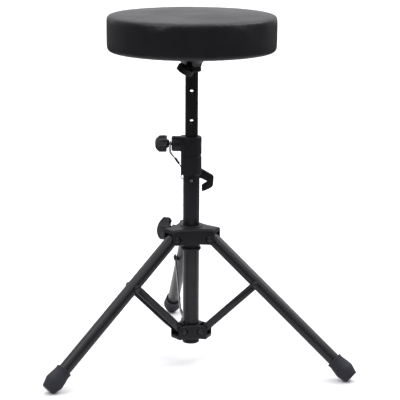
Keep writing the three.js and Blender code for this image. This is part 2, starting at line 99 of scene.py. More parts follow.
# ---- materials ----
class Nodes:
    """A material's node tree, with short ways to add and join nodes."""

    def __init__(self, name):
        self.material = bpy.data.materials.new(name)
        self.material.use_nodes = True
        self.tree = self.material.node_tree
        self.shader = self.tree.nodes["Principled BSDF"]
        self.place = self.add("ShaderNodeTexCoord").outputs["Object"]

    def add(self, kind, **values):
        node = self.tree.nodes.new(kind)
        for key, value in values.items():
            if key in node.inputs:
                node.inputs[key].default_value = value
            else:
                setattr(node, key, value)
        return node

    def link(self, source, target):
        self.tree.links.new(source, target)

    def noise(self, scale, detail=3.0, roughness=0.5):
        node = self.add("ShaderNodeTexNoise")
        node.inputs["Scale"].default_value = scale
        node.inputs["Detail"].default_value = detail
        node.inputs["Roughness"].default_value = roughness
        self.link(self.place, node.inputs["Vector"])
        return node.outputs["Fac"]

    def cells(self, scale, feature="F1"):
        node = self.add("ShaderNodeTexVoronoi")
        node.feature = feature
        node.inputs["Scale"].default_value = scale
        self.link(self.place, node.inputs["Vector"])
        return node.outputs["Distance"]

    def ramp(self, source, low, high, start=0.3, end=0.7):
        node = self.add("ShaderNodeMapRange")
        node.inputs["From Min"].default_value = start
        node.inputs["From Max"].default_value = end
        node.inputs["To Min"].default_value = low
        node.inputs["To Max"].default_value = high
        self.link(source, node.inputs["Value"])
        return node.outputs["Result"]

    def tint(self, source, dark, light, start=0.3, end=0.7):
        node = self.add("ShaderNodeValToRGB")
        first, last = node.color_ramp.elements
        first.position, last.position = start, end
        first.color, last.color = (*dark, 1), (*light, 1)
        self.link(source, node.inputs["Fac"])
        self.link(node.outputs["Color"], self.shader.inputs["Base Color"])

    def bump(self, source, height_mm, below=None):
        node = self.add("ShaderNodeBump")
        node.inputs["Strength"].default_value = 1.0
        node.inputs["Distance"].default_value = height_mm * MM
        self.link(source, node.inputs["Height"])
        if below is not None:
            self.link(below, node.inputs["Normal"])
        self.link(node.outputs["Normal"], self.shader.inputs["Normal"])
        return node.outputs["Normal"]


def worn_edges(nodes, base_low, base_high, worn, radius_mm=0.9):
    """Brightens the coat where a bevel's normal turns away from the flat beside it, as rubbed edges do."""
    bevel = nodes.add("ShaderNodeBevel")
    bevel.samples = 4
    bevel.inputs["Radius"].default_value = radius_mm * MM
    geometry = nodes.add("ShaderNodeNewGeometry")
    dot = nodes.add("ShaderNodeVectorMath", operation="DOT_PRODUCT")
    nodes.link(bevel.outputs["Normal"], dot.inputs[0])
    nodes.link(geometry.outputs["Normal"], dot.inputs[1])
    edge = nodes.ramp(dot.outputs["Value"], 1.0, 0.0, 0.80, 0.985)
    patch = nodes.ramp(nodes.noise(140, 4), 0.0, 1.0, 0.42, 0.62)
    wear = nodes.add("ShaderNodeMath", operation="MULTIPLY")
    nodes.link(edge, wear.inputs[0])
    nodes.link(patch, wear.inputs[1])
    colour = nodes.add("ShaderNodeValToRGB")
    first, last = colour.color_ramp.elements
    first.color, last.color = (*base_low, 1), (*base_high, 1)
    nodes.link(nodes.noise(30, 2), colour.inputs["Fac"])
    mix = nodes.add("ShaderNodeMix", data_type="RGBA")
    nodes.link(wear.outputs["Value"], mix.inputs["Factor"])
    nodes.link(colour.outputs["Color"], mix.inputs["A"])
    mix.inputs["B"].default_value = (*worn, 1)
    nodes.link(mix.outputs["Result"], nodes.shader.inputs["Base Color"])


def powder_coat():
    nodes = Nodes("powder_coat")
    nodes.shader.inputs["Specular IOR Level"].default_value = 0.32
    nodes.tint(nodes.noise(25, 2), (0.0085, 0.0088, 0.0112), (0.0125, 0.0130, 0.0160))
    nodes.link(nodes.ramp(nodes.noise(60, 3), 0.27, 0.35), nodes.shader.inputs["Roughness"])
    fine = nodes.bump(nodes.noise(900, 2), 0.035)
    nodes.bump(nodes.noise(320, 1), 0.05, below=fine)
    return nodes.material


def moulded_plastic():
    nodes = Nodes("moulded_plastic")
    nodes.shader.inputs["Specular IOR Level"].default_value = 0.25
    nodes.tint(nodes.noise(35, 3), (0.0065, 0.0066, 0.0082), (0.0098, 0.0099, 0.0122))
    nodes.link(nodes.ramp(nodes.noise(80, 3), 0.42, 0.54), nodes.shader.inputs["Roughness"])
    nodes.bump(nodes.noise(1500, 3), 0.04)
    return nodes.material


def rubber():
    nodes = Nodes("rubber")
    nodes.shader.inputs["Specular IOR Level"].default_value = 0.3
    nodes.tint(nodes.noise(45, 4), (0.0150, 0.0158, 0.0215), (0.0240, 0.0250, 0.0330))
    nodes.link(nodes.ramp(nodes.noise(90, 4), 0.58, 0.78), nodes.shader.inputs["Roughness"])
    nodes.bump(nodes.noise(700, 5), 0.06)
    return nodes.material


def seat_vinyl():
    """Grained upholstery vinyl: pebbled cells with soft creases, and slow changes in shine."""
    nodes = Nodes("seat_vinyl")
    nodes.shader.inputs["Specular IOR Level"].default_value = 0.36
    nodes.tint(nodes.noise(14, 5), (0.0074, 0.0074, 0.0100), (0.0125, 0.0118, 0.0150))
    nodes.link(nodes.ramp(nodes.noise(11, 5, 0.6), 0.36, 0.50), nodes.shader.inputs["Roughness"])
    pebble = nodes.bump(nodes.cells(620, "SMOOTH_F1"), 0.10)
    crease = nodes.bump(nodes.noise(260, 4, 0.6), 0.10, below=pebble)
    nodes.bump(nodes.noise(28, 3), 0.9, below=crease)
    return nodes.material


def lining_cloth():
    nodes = Nodes("lining_cloth")
    nodes.tint(nodes.noise(400, 4), (0.010, 0.010, 0.011), (0.028, 0.028, 0.030))
    nodes.shader.inputs["Roughness"].default_value = 0.95
    nodes.bump(nodes.noise(1400, 5, 0.7), 0.2)
    return nodes.material


def zinc_steel():
    nodes = Nodes("zinc_steel")
    nodes.tint(nodes.noise(60, 4), (0.30, 0.31, 0.32), (0.45, 0.46, 0.46))
    nodes.shader.inputs["Metallic"].default_value = 1.0
    nodes.link(nodes.ramp(nodes.noise(150, 4), 0.24, 0.42), nodes.shader.inputs["Roughness"])
    nodes.bump(nodes.noise(900, 3), 0.02)
    return nodes.material


def dark_pin_steel():
    """The lock pin's plating, darker all over than the zinc steel of the other parts."""
    nodes = Nodes("dark_pin_steel")
    nodes.tint(nodes.noise(60, 4), (0.08, 0.08, 0.085), (0.14, 0.14, 0.145))
    nodes.shader.inputs["Metallic"].default_value = 1.0
    nodes.link(nodes.ramp(nodes.noise(150, 4), 0.40, 0.55), nodes.shader.inputs["Roughness"])
    nodes.bump(nodes.noise(900, 3), 0.02)
    return nodes.material


def black_rivet():
    nodes = Nodes("black_rivet")
    worn_edges(nodes, (0.009, 0.009, 0.011), (0.016, 0.016, 0.019), (0.11, 0.11, 0.12))
    nodes.shader.inputs["Metallic"].default_value = 0.3
    nodes.link(nodes.ramp(nodes.noise(150, 4), 0.28, 0.44), nodes.shader.inputs["Roughness"])
    nodes.bump(nodes.noise(700, 3), 0.03)
    return nodes.material


def brass():
    nodes = Nodes("brass")
    nodes.tint(nodes.noise(80, 4), (0.30, 0.20, 0.07), (0.44, 0.31, 0.13))
    nodes.shader.inputs["Metallic"].default_value = 1.0
    nodes.link(nodes.ramp(nodes.noise(200, 4), 0.28, 0.45), nodes.shader.inputs["Roughness"])
    return nodes.material


def plywood():
    nodes = Nodes("plywood")
    wave = nodes.add("ShaderNodeTexWave")
    wave.inputs["Scale"].default_value = 35
    wave.inputs["Distortion"].default_value = 6
    nodes.link(nodes.place, wave.inputs["Vector"])
    nodes.tint(wave.outputs["Fac"], (0.36, 0.24, 0.13), (0.56, 0.41, 0.24))
    nodes.shader.inputs["Roughness"].default_value = 0.75
    nodes.bump(nodes.noise(500, 4), 0.1)
    return nodes.material


def cord_sheath():
    nodes = Nodes("cord_sheath")
    wave = nodes.add("ShaderNodeTexWave", wave_type="BANDS", bands_direction="DIAGONAL")
    wave.inputs["Scale"].default_value = 900
    nodes.link(nodes.place, wave.inputs["Vector"])
    # Painted highlight: the light grey of these bands stands for glints along the cord. Their diagonal
    # banding is the braid's own pattern.
    nodes.tint(wave.outputs["Fac"], (0.16, 0.16, 0.17), (0.42, 0.42, 0.44))
    nodes.shader.inputs["Roughness"].default_value = 0.35
    nodes.shader.inputs["Coat Weight"].default_value = 0.6
    nodes.bump(wave.outputs["Fac"], 0.12)
    return nodes.material


MATERIALS = {make.__name__: make() for make in (powder_coat, moulded_plastic, rubber, seat_vinyl,
             lining_cloth, zinc_steel, dark_pin_steel, black_rivet, brass, plywood, cord_sheath)}


# ---- mesh tools ----
def new_object(name, mesh):
    obj = bpy.data.objects.new(name, mesh)
    bpy.context.collection.objects.link(obj)
    return obj


def from_bmesh(name, bm):
    bmesh.ops.recalc_face_normals(bm, faces=bm.faces)
    mesh = bpy.data.meshes.new(name)
    bm.to_mesh(mesh)
    bm.free()
    return new_object(name, mesh)


def lathe(name, profile, sides=FINE, closed=False):
    """Turns (radius, height) points about Z. A closed profile is a ring, an open one ends on the axis."""
    bm = bmesh.new()
    rows = []
    for r, z in profile:
        count = 1 if r < 1e-6 else sides
        angles = [2 * math.pi * k / sides for k in range(count)]
        rows.append([bm.verts.new((r * math.cos(angle), r * math.sin(angle), z)) for angle in angles])
    pairs = list(zip(rows, rows[1:])) + ([(rows[-1], rows[0])] if closed else [])
    for low, high in pairs:
        for k in range(sides):
            corners = [low[k % len(low)], low[(k + 1) % len(low)],
                       high[(k + 1) % len(high)], high[k % len(high)]]
            face = list(dict.fromkeys(corners))
            if len(face) > 2:
                bm.faces.new(face)
    return from_bmesh(name, bm)


def fillet(points, radius, closed=False, steps=3):
    """Rounds the corners of a profile, up to a third of each neighbouring side."""
    rounded = []
    last = len(points) - 1
    for i, point in enumerate(points):
        if not closed and i in (0, last):
            rounded.append(point)
            continue
        here = Vector(point)
        before = Vector(points[i - 1]) - here
        after = Vector(points[(i + 1) % len(points)]) - here
        reach = min(radius, before.length / 3, after.length / 3)
        start, end = here + before.normalized() * reach, here + after.normalized() * reach
        for k in range(steps + 1):
            t = k / steps
            rounded.append(tuple((1 - t) ** 2 * start + 2 * t * (1 - t) * here + t * t * end))
    return rounded


def ring(name, profile, radius=0.5, sides=FINE):
    return lathe(name, fillet(profile, radius, closed=True), sides, closed=True)


def turning(name, profile, radius=0.5, sides=FINE):
    return lathe(name, fillet(profile, radius), sides)


def pipe_profile(outer, inner, low, high, rows=()):
    """A pipe's wall, with extra rows of points that keep the faces round a hole short."""
    up = sorted(rows)
    return [(inner, low), (outer, low), *((outer, z) for z in up), (outer, high), (inner, high),
            *((inner, z) for z in reversed(up))]


def slab(name, outline, low, high):
    """A flat outline in X-Y, raised from low to high."""
    bm = bmesh.new()
    face = bm.faces.new([bm.verts.new((x, y, low)) for x, y in outline])
    top = bmesh.ops.extrude_face_region(bm, geom=[face])["geom"]
    raised = [v for v in top if isinstance(v, bmesh.types.BMVert)]
    bmesh.ops.translate(bm, vec=(0, 0, high - low), verts=raised)
    return from_bmesh(name, bm)


def move(obj, matrix):
    obj.data.transform(matrix)
    obj.data.update()
    return obj


ALONG_X = Matrix.Rotation(math.radians(90), 4, "Y")
ALONG_Y = Matrix.Rotation(math.radians(-90), 4, "X")
UPRIGHT = Matrix.Rotation(math.radians(90), 4, "X")     # an outline in X-Y becomes one in X-Z


def rod(radius, low, high, matrix=Matrix.Identity(4), sides=SMALL):
    return move(lathe("tool", [(0, low), (radius, low), (radius, high), (0, high)], sides), matrix)


def baked(obj):
    """Replaces the object's mesh by what its modifiers make, and clears them."""
    shown = obj.evaluated_get(bpy.context.evaluated_depsgraph_get())
    mesh = bpy.data.meshes.new_from_object(shown)
    obj.modifiers.clear()
    obj.data = mesh
    return obj


def combine(obj, tools, operation):
    for tool in tools:
        modifier = obj.modifiers.new("combine", "BOOLEAN")
        modifier.operation, modifier.solver, modifier.object = operation, "EXACT", tool
    baked(obj)
    for tool in tools:
        bpy.data.objects.remove(tool)
    return obj


def drill(obj, tools):
    return combine(obj, tools, "DIFFERENCE")


def weld(obj, tools):
    return combine(obj, tools, "UNION")


def soften(obj, width, segments=2, angle=32):
    modifier = obj.modifiers.new("edges", "BEVEL")
    modifier.width, modifier.segments = width, segments
    modifier.limit_method, modifier.angle_limit = "ANGLE", math.radians(angle)
    modifier.use_clamp_overlap = True
    return baked(obj)


def piece(obj, name, body, slot, nodes=(), place=Matrix.Identity(4), sharp=38):
    """Names a finished piece, places it in metres, and ties it to its body, slot and CAD nodes."""
    obj.name = obj.data.name = name
    move(obj, Matrix.Scale(MM, 4) @ Matrix.Translation(COLUMN) @ place)
    obj.data.materials.clear()
    obj.data.materials.append(MATERIALS[slot])
    for polygon in obj.data.polygons:
        polygon.use_smooth = True
    obj.data.set_sharp_from_angle(angle=math.radians(sharp))
    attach(obj, body)
    if nodes:
        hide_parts(*nodes)
    return obj


def spun(degrees):
    return Matrix.Rotation(math.radians(degrees), 4, "Z")


DRILLED = spun(COLUMN_TURN)      # the frame of the post, collar and lock pin


# ---- tether, before the other pieces: a thin cord from the height screw to the lock pin ----
TETHER_R = 0.9
TETHER_STEPS = 6               # points on each stretch of the route
CRIMP_AT = 26                  # the point of the route at the crimp's middle
CRIMP_HALF, CRIMP_R, CRIMP_BORE = 6.5, 2.0, 1.0
TETHER_ROUTE = [(-36.6, 0, 388.6), (-36.6, 1.2, 383), (-35.6, 3.4, 376.5), (-31.5, 5.6, 369.5),
                (-26.6, 7.4, 362.8), (-22.4, 10.4, 356), (-18.6, 15, 349), (-17.2, 18.5, 342),
                (-17.6, 19.5, 335), (-18.4, 20, 329.5), (-16.5, 20.8, 326.2), (-12.5, 21.6, 325.6),
                (-8, 22, 326.6), (-4.6, 22.2, 328)]
TETHER_LOOP = [(-29.9, 6.6, 366.4), (-33.4, 4.2, 370.6), (-37.2, 0.4, 376.5), (-38.0, -2.6, 383),
               (-37.2, -4.0, 388.5), (-36.6, -4.2, 392.6), (-36.6, -2.9, 395.6), (-36.6, 0, 396.8),
               (-36.6, 2.9, 395.6), (-36.6, 4.1, 392.4), (-36.6, 3.3, 388), (-36.6, 1.9, 384.4)]


def spline_points(points, steps):
    """A smooth line through the points (Catmull-Rom), with steps points on each stretch."""
    padded = [points[0], *points, points[-1]]
    line = []
    for a, b, c, d in zip(padded, padded[1:], padded[2:], padded[3:]):
        a, b, c, d = Vector(a), Vector(b), Vector(c), Vector(d)
        for k in range(steps):
            t = k / steps
            line.append(0.5 * (2 * b + (c - a) * t + (2 * a - 5 * b + 4 * c - d) * t ** 2
                               + (3 * b - a - 3 * c + d) * t ** 3))
    return line + [Vector(points[-1])]


def sweep(name, line, radius, sides=12):
    """A round tube along a line of points, closed at both ends."""
    bm = bmesh.new()
    side = Vector((0, 0, 1))
    rows = []
    for i, point in enumerate(line):
        ahead = (line[min(i + 1, len(line) - 1)] - line[max(i - 1, 0)]).normalized()
        side = (side - ahead * side.dot(ahead))
        side = side.normalized() if side.length > 0.05 else ahead.orthogonal().normalized()
        across = ahead.cross(side)
        rows.append([bm.verts.new(point + radius * (math.cos(2 * math.pi * k / sides) * side
                                                    + math.sin(2 * math.pi * k / sides) * across))
                     for k in range(sides)])
    for low, high in zip(rows, rows[1:]):
        for k in range(sides):
            bm.faces.new((low[k], low[(k + 1) % sides], high[(k + 1) % sides], high[k]))
    bm.faces.new(rows[0])
    bm.faces.new(rows[-1])
    return from_bmesh(name, bm)


def make_tether():
    line = spline_points(TETHER_ROUTE, TETHER_STEPS)
    cord = piece(sweep("tether", line, TETHER_R), "tether_cord_braided", "column", "cord_sheath",
                 ["tether_cord"], DRILLED, sharp=80)
    loop = spline_points(TETHER_LOOP, TETHER_STEPS)
    eye = piece(sweep("eye", loop, TETHER_R), "tether_eye", "column", "cord_sheath", place=DRILLED, sharp=80)
    ahead = (line[CRIMP_AT + 2] - line[CRIMP_AT - 2]).normalized()
    sleeve = ring("crimp", pipe_profile(CRIMP_R, CRIMP_BORE, -CRIMP_HALF, CRIMP_HALF), 0.35, 24)
    aim = Matrix.Translation(line[CRIMP_AT]) @ ahead.to_track_quat("Z", "Y").to_matrix().to_4x4()
    crimp = piece(sleeve, "tether_crimp", "column", "black_rivet", place=DRILLED @ aim)


make_tether()


# ---- seat ----
SEAT_BOTTOM = 554.0
FOLD_R = 122.0                 # where the vinyl turned under the board ends
BOARD_R, BOARD_LOW, BOARD_TOP = 138.4, 555.7, 568.4
SIM_FRAMES = 20
VOXEL = 3.6 * MM
SWELL_CAP = 1.1 * MM
STILL_BELOW, SWELL_OVER = 564.0, 22.0      # the swelling fades in over this height
PLEATS, STAPLES, STAPLE_R = 46, 40, 126.5


def cushion_start():
    """The cushion at full size where it wraps the board, and a little small above, for the cloth to swell."""
    profile = [(0, SEAT_BOTTOM), (139.6, SEAT_BOTTOM), (142.4, 554.7), (144.4, 556.6), (145.2, 559.6),
               (145.4, 566), (145.6, 576), (145.6, 588), (145.7, 600), (145.9, 608.8), (145.3, 611.9),
               (143.4, 614.0), (140, 614.8), (100, 617.9), (60, 620.1), (0, 621.5)]
    return lathe("cushion", profile, 120)


def swell(cushion):
    """Voxel remesh, then a pressurised cloth whose points move less and less towards the board."""
    remesh = cushion.modifiers.new("remesh", "REMESH")
    remesh.mode, remesh.voxel_size = "VOXEL", VOXEL
    baked(cushion)
    start = [v.co.copy() for v in cushion.data.vertices]
    cloth = cushion.modifiers.new("cloth", "CLOTH")
    settings = cloth.settings
    settings.use_pressure, settings.uniform_pressure_force = True, 4.0
    settings.effector_weights.gravity = 0
    settings.tension_stiffness = settings.compression_stiffness = 40
    settings.shear_stiffness, settings.bending_stiffness = 20, 12
    cloth.point_cache.frame_start, cloth.point_cache.frame_end = 1, SIM_FRAMES
    for number in range(1, SIM_FRAMES + 1):
        bpy.context.scene.frame_set(number)
    baked(cushion)
    bpy.context.scene.frame_set(1)
    for vertex, before in zip(cushion.data.vertices, start):
        share = min(max((before.z / MM - STILL_BELOW) / SWELL_OVER, 0), 1)
        cap = SWELL_CAP * share * share * (3 - 2 * share)
        shift = vertex.co - before
        if shift.length > cap:
            vertex.co = before + shift.normalized() * cap


def ease_and_refine(cushion):
    ease = cushion.modifiers.new("ease", "SMOOTH")
    ease.factor, ease.iterations = 0.5, 4
    refine = cushion.modifiers.new("refine", "SUBSURF")
    refine.levels = refine.render_levels = 1
    baked(cushion)


def make_cushion():
    cushion = move(cushion_start(), Matrix.Scale(MM, 4) @ Matrix.Translation(COLUMN))
    swell(cushion)
    ease_and_refine(cushion)
    move(cushion, Matrix.Translation(-COLUMN) @ Matrix.Scale(1 / MM, 4))
    recess = lathe("tool", [(0, 540), (FOLD_R, 540), (FOLD_R, BOARD_LOW), (BOARD_R, BOARD_LOW),
                            (BOARD_R, BOARD_TOP), (0, BOARD_TOP)], 96)
    drill(cushion, [recess])
    piece(cushion, "seat_cushion", "seat", "seat_vinyl", ["seat_cover", "seat_foam"], sharp=60)


def make_pleats():
    """The vinyl pulled under the board: a ring of small gathers held by staples."""
    bm = bmesh.new()
    turns, rings = 480, [(121.2, 0.0), (122.0, 0.9), (126.0, 1.0), (131.0, 0.7), (136.0, 0.2)]
    rows = []
    for radius, depth in rings:
        row = []
        for k in range(turns):
            angle = 2 * math.pi * k / turns
            fold = 0.5 + 0.5 * math.sin(PLEATS * angle + 1.3 * math.sin(5 * angle))
            height = SEAT_BOTTOM + 0.15 - depth * fold ** 2 * 0.8
            row.append(bm.verts.new((radius * math.cos(angle), radius * math.sin(angle), height)))
        rows.append(row)
    for inner, outer in zip(rows, rows[1:]):
        for k in range(turns):
            bm.faces.new((inner[k], inner[(k + 1) % turns], outer[(k + 1) % turns], outer[k]))
    pleats = from_bmesh("pleats", bm)
    thick = pleats.modifiers.new("thick", "SOLIDIFY")
    thick.thickness, thick.offset = 0.6, 0
    baked(pleats)
    piece(pleats, "seat_cover_pleats", "seat", "seat_vinyl", sharp=70)


def make_lining():
    """The dust cloth under the board, whose edge laps over the gathered vinyl."""
    profile = [(0, 554.2), (112, 554.2), (118, 553.6), (123.4, 552.8), (123.9, 553.2), (119, 554.2),
               (112, 555), (0, 555)]
    piece(turning("lining", profile, 0.3, 120), "seat_lining_cloth", "seat", "lining_cloth",
          ["seat_lining"], sharp=60)


def make_staples():
    """Staples along the gathers, none quite in line with the hem."""
    bm = bmesh.new()
    for k in range(STAPLES):
        angle = 2 * math.pi * (k + 0.5) / STAPLES
        turn = Matrix.Rotation(angle + 0.12 * math.sin(3.7 * k), 4, "Z")
        place = (STAPLE_R * math.cos(angle), STAPLE_R * math.sin(angle), SEAT_BOTTOM - 0.75)
        shift = Matrix.Translation(place)
        made = bmesh.ops.create_cube(bm, size=1.0)["verts"]
        shape = shift @ turn @ Matrix.Diagonal((0.9, 10.0, 0.55, 1.0))
        bmesh.ops.transform(bm, matrix=shape, verts=made)
    piece(soften(from_bmesh("staples", bm), 0.15), "seat_staples", "seat", "zinc_steel")


def rounded_square(side, corner, steps=10):
    points = []
    edge = side / 2 - corner
    for k in range(4):
        centre = Matrix.Rotation(k * math.pi / 2, 2) @ Vector((edge, edge))
        for s in range(steps + 1):
            angle = (k + s / steps) * math.pi / 2
            points.append((centre.x + corner * math.cos(angle), centre.y + corner * math.sin(angle)))
    return points


BOLT_SPOTS = (45, 135, 225, 315)
BOLT_CIRCLE_R, BOLT_HOLE = 44.0, 3.3
# Distances from the column's axis: the screw's tip, insert, knob neck and the start of the boss.
# Half is the wing's half length and boss the boss's radius.
SEAT_SCREW = dict(tip=11.4, insert=14.5, neck=26.0, z=526.0, azimuth=246, half=14, tilt=60,
                  boss=7.5, boss_start=13)
HEIGHT_SCREW = dict(tip=11.4, insert=26.2, neck=38.5, z=392.6, azimuth=180, half=20, tilt=70, boss=13.4)
HUB_SCREW = dict(tip=14.6, insert=27.0, neck=39.0, z=236.5, azimuth=150, half=20, tilt=38,
                 boss=8.5, boss_start=20)
INSERT_R, INSERT_LENGTH, SCREW_HOLE = 6.0, 8.0, 3.4


def on_screw(screw):
    return spun(screw["azimuth"]) @ Matrix.Translation((0, 0, screw["z"])) @ ALONG_X


def screw_cuts(screw):
    return [rod(SCREW_HOLE, 0, 40, on_screw(screw)),
            rod(INSERT_R, screw["insert"] - GAP, screw["insert"] + INSERT_LENGTH + 1, on_screw(screw))]


def screw_boss(screw):
    return rod(screw["boss"], screw["boss_start"], screw["insert"] + INSERT_LENGTH, on_screw(screw))


def at_bolt(spot):
    return spun(spot) @ Matrix.Translation((BOLT_CIRCLE_R, 0, 0))


def make_bracket():
    """The pressed plate under the board, with the flared socket that grips the post."""
    low, high = 550.9, 553.9
    plate = soften(slab("plate", rounded_square(120, 14), low, high), 0.7)
    drill(plate, [rod(18, low - 1, high + 1, sides=FINE)])
    bore = POST_R + GAP
    flare_profile = [(bore, 519), (15.6, 519), (16.2, 519.8), (16.2, 528), (18.5, 534), (23.5, 540.5),
                     (30, 546.2), (38, 551.4), (36.5, 552.8), (28.5, 548.4), (21.8, 542.6), (16.4, 536),
                     (13.9, 531), (13.9, 548), (bore, 548)]
    flare = ring("flare", flare_profile, 0.6)
    weld(plate, [flare, screw_boss(SEAT_SCREW)])
    holes = [rod(BOLT_HOLE, low - 1, high + 1, at_bolt(spot)) for spot in BOLT_SPOTS]
    drill(plate, [rod(bore, 510, 560, sides=FINE), *screw_cuts(SEAT_SCREW), *holes])
    piece(plate, "seat_bracket_pressed", "seat", "powder_coat", ["seat_bracket"], sharp=30)


def make_bolts():
    """Socket-head bolts up through the plate into the board."""
    top, end = 550.6, 566
    profile = [(0, top - 3.4), (4.9, top - 3.4), (6, top - 2.3), (6, top), (3, top), (3, end), (0, end)]
    for number, spot in enumerate(BOLT_SPOTS, 1):
        head = turning("bolt", profile, 0.5, SMALL)
        drill(head, [rod(2.6, top - 5, top - 1.4, sides=6)])
        piece(head, f"seat_bolt_socket_{number}", "seat", "zinc_steel", [f"seat_bolt_{number}"],
              at_bolt(spot))


make_cushion()
make_pleats()
make_lining()
make_staples()
make_bracket()
make_bolts()


# ---- post, column and collar ----
def across(radius, z, half=30.0):
    return rod(radius, -half, half, Matrix.Translation((0, 0, z)) @ ALONG_Y)


def beside(*heights, reach=6.0):
    """The rows of points just below and just above each hole."""
    return [z + side * reach for z in heights for side in (-1, 1)]


def make_post():
    holes = [PIN_Z + k * PIN_PITCH for k in range(PIN_HOLES)]
    post = ring("post", pipe_profile(POST_R, POST_IN, POST_LOW, POST_TOP, beside(*holes)), 0.4)
    drill(post, [across(PIN_HOLE, z) for z in holes])
    piece(post, "inner_post_tube", "seat_post", "powder_coat", ["inner_post"], DRILLED)


def make_tube():
    tube = ring("tube", pipe_profile(TUBE_R, TUBE_IN, TUBE_LOW, TUBE_TOP, beside(PIN_Z)), 0.4)
    drill(tube, [across(PIN_HOLE + 0.5, PIN_Z), rod(SCREW_HOLE, 0, 40, on_screw(HEIGHT_SCREW))])
    piece(tube, "outer_tube_steel", "column", "powder_coat", ["outer_tube"], DRILLED)


def make_collar():
    """The moulded clamp on the column's top: a grooved ring, a flat block and a round boss."""
    radius, low, high = 17.6, 339.0, 406.0
    groove_low, groove_high, groove_r = 370, 375.6, radius - 0.8
    profile = [(0, low), (radius - 1, low), (radius, low + 1), (radius, groove_low),
               (groove_r, groove_low + 0.6), (groove_r, groove_high - 0.6), (radius, groove_high),
               (radius, high - 2.4), (radius - 0.7, high - 0.7), (radius - 2.4, high), (0, high)]
    body = lathe("collar", profile, FINE)
    block = soften(slab("block", [(-18.3, -13), (0, -13), (0, 13), (-18.3, 13)], low, high), 1.6, 3)
    boss_r = HEIGHT_SCREW["boss"]
    boss_profile = [(0, 0), (boss_r, 0), (boss_r, 32), (13.0, 33.3), (11.6, 34.5), (9.2, 34.5), (8.6, 33.6),
                    (0, 33.6)]
    boss = move(lathe("boss", boss_profile, FINE), on_screw(HEIGHT_SCREW))
    weld(body, [block, boss])
    drill(body, [rod(TUBE_R + GAP, low - 1, TUBE_TOP + GAP, sides=FINE),
                 rod(POST_R + GAP, low, high + 1, sides=FINE), *screw_cuts(HEIGHT_SCREW)])
    piece(body, "height_collar_moulded", "column", "moulded_plastic", ["height_collar"], DRILLED, sharp=30)


def make_fixed_rings():
    """The rubber stop under the sliding hub, and the plug in the column's lower end."""
    inner = TUBE_R + GAP
    stop = [(inner, 203.5), (16.0, 203.5), (17.2, 204.8), (17.4, 206.5), (17.2, 208.2), (16.0, 209.5),
            (inner, 209.5)]
    piece(ring("stop", stop, 0.6), "stop_ring_rubber", "column", "rubber", ["stop_ring"])
    plug = TUBE_IN - GAP
    cap = [(0, 33.4), (12.6, 33.4), (14.3, 34.0), (15, 35.4), (15, 39.7), (plug, 39.7), (plug, 51), (0, 51)]
    piece(turning("cap", cap, 0.6), "column_end_plug", "column", "moulded_plastic", ["column_end_cap"])


make_post()
make_tube()
make_collar()
make_fixed_rings()


# ---- wing screws ----
KNOB_HALF = 5.5                # half the knob's thickness


def threaded(name, low, high, radius=SCREW_R, pitch=1.25, sides=24):
    """A rod with a helical thread whose crests lie at its full radius."""
    bm = bmesh.new()
    step = pitch / 4
    count = int((high - low) / step)
    rows = []
    for i in range(count + 1):
        height = low + (high - low) * i / count
        row = []
        for k in range(sides):
            phase = (height / pitch - k / sides) % 1.0
            reach = radius - (0.42 * (1 - abs(2 * phase - 1)) if 0 < i < count else 0.5)
            angle = 2 * math.pi * k / sides
            row.append(bm.verts.new((reach * math.cos(angle), reach * math.sin(angle), height)))
        rows.append(row)
    for lower, upper in zip(rows, rows[1:]):
        for k in range(sides):
            bm.faces.new((lower[k], lower[(k + 1) % sides], upper[(k + 1) % sides], upper[k]))
    bm.faces.new(rows[0])
    bm.faces.new(rows[-1])
    return from_bmesh(name, bm)


def wing_outline(half):
    """Both wings of the knob: straight inner edges, flat ends and one broad outer curve."""
    upper = [(2.6, 6.6), (4.2, 8.4), (4.2, half - 1.2), (5.4, half), (16.4, half), (17.8, half - 0.9),
             (20.6, 0.72 * half), (22.8, 0.50 * half), (24.1, 0.25 * half)]
    return [(x, -y) for x, y in upper] + [(24.5, 0)] + [(x, y) for x, y in reversed(upper)]


def grip_ribs(half):
    """Shallow grooves across the wings' broad faces, clear of the middle."""
    tools = []
    for face in (1, -1):
        for wing in (1, -1):
            for k in range(5):
                y = wing * (0.45 * half + k * 0.1 * half)
                place = Matrix.Translation((14.0, face * (KNOB_HALF + 0.25), y))
                groove = lathe("rib", [(0, -7), (0.75, -6.4), (0.75, 6.4), (0, 7)], 10)
                tools.append(move(groove, place @ ALONG_X))
    return tools


def make_knob(name, body, screw, base):
    """A moulded wing knob: a thick fan with ribbed faces, a round neck and a central swelling."""
    fan = slab("fan", wing_outline(screw["half"]), -KNOB_HALF, KNOB_HALF)
    move(fan, UPRIGHT)
    soften(fan, 1.3, 3, 40)
    neck = [(0, 0), (5.6, 0), (6.8, 0.8), (7.0, 3), (6.7, 9), (6.3, 16), (5.2, 21.5), (3.4, 24.0), (0, 24.9)]
    core = move(lathe("core", fillet(neck, 1.2), 48), ALONG_X)
    weld(fan, [core])
    drill(fan, grip_ribs(screw["half"]))
    drill(fan, [rod(SCREW_HOLE, -1, 12, ALONG_X)])
    finish = fan.modifiers.new("remesh", "REMESH")
    finish.mode, finish.voxel_size = "VOXEL", 0.5
    baked(fan)
    ease = fan.modifiers.new("ease", "SMOOTH")
    ease.factor, ease.iterations = 0.5, 3
    baked(fan)
    at = base @ spun(screw["azimuth"]) @ Matrix.Translation((screw["neck"], 0, screw["z"]))
    tilt = Matrix.Rotation(math.radians(screw["tilt"]), 4, "X")
    piece(fan, f"{name}_knob_moulded", body, "moulded_plastic", [f"{name}_knob"], at @ tilt, sharp=70)
    rod_piece = threaded("screw", screw["tip"], screw["neck"] + 12)
    piece(rod_piece, f"{name}_screw_threaded", body, "zinc_steel", [f"{name}_screw"],
          base @ on_screw(screw), sharp=50)


make_knob("seat", "seat_wing_screw", SEAT_SCREW, Matrix.Identity(4))
make_knob("height", "height_wing_screw", HEIGHT_SCREW, DRILLED)
make_knob("hub", "hub_wing_screw", HUB_SCREW, Matrix.Identity(4))


